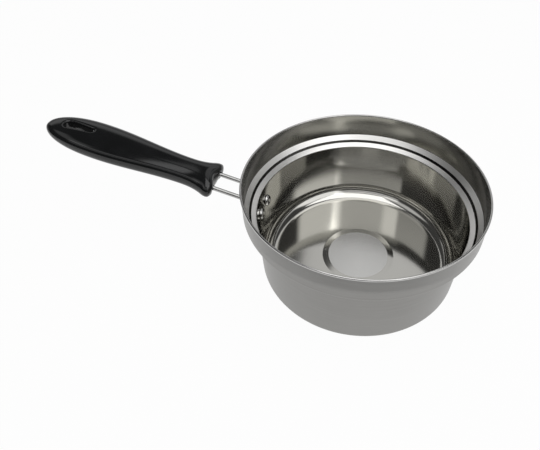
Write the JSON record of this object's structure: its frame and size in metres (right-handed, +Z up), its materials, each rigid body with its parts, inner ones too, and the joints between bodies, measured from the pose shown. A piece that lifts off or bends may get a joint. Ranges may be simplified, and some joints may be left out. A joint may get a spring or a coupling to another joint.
{
  "type": "ramen pot",
  "caption": "Stepped steel saucepan with lid ledges, a flat base and a long black moulded grip carried on riveted steel rods, for boiling noodles.",
  "frame": {"origin": "middle of the flat base, on the pan's axis", "axes": "+Z up the pan's axis, -X out along the handle"},
  "size_m": [0.3405, 0.183, 0.098],
  "materials": {
    "satin_steel": "brushed outside, polished inside",
    "bright_steel": "polished",
    "black_phenolic": "glossy moulded",
    "plain_steel": "dull zinc"
  },
  "bodies": {
    "root": {"pot_body": "satin_steel", "handle_rod_near": "bright_steel", "handle_rod_far": "bright_steel", "rivet_near": "bright_steel", "rivet_far": "bright_steel", "grip": "black_phenolic", "bridge_plate": "plain_steel", "grip_screw": "plain_steel", "screw_washer": "plain_steel"}
  },
  "joints": []
}
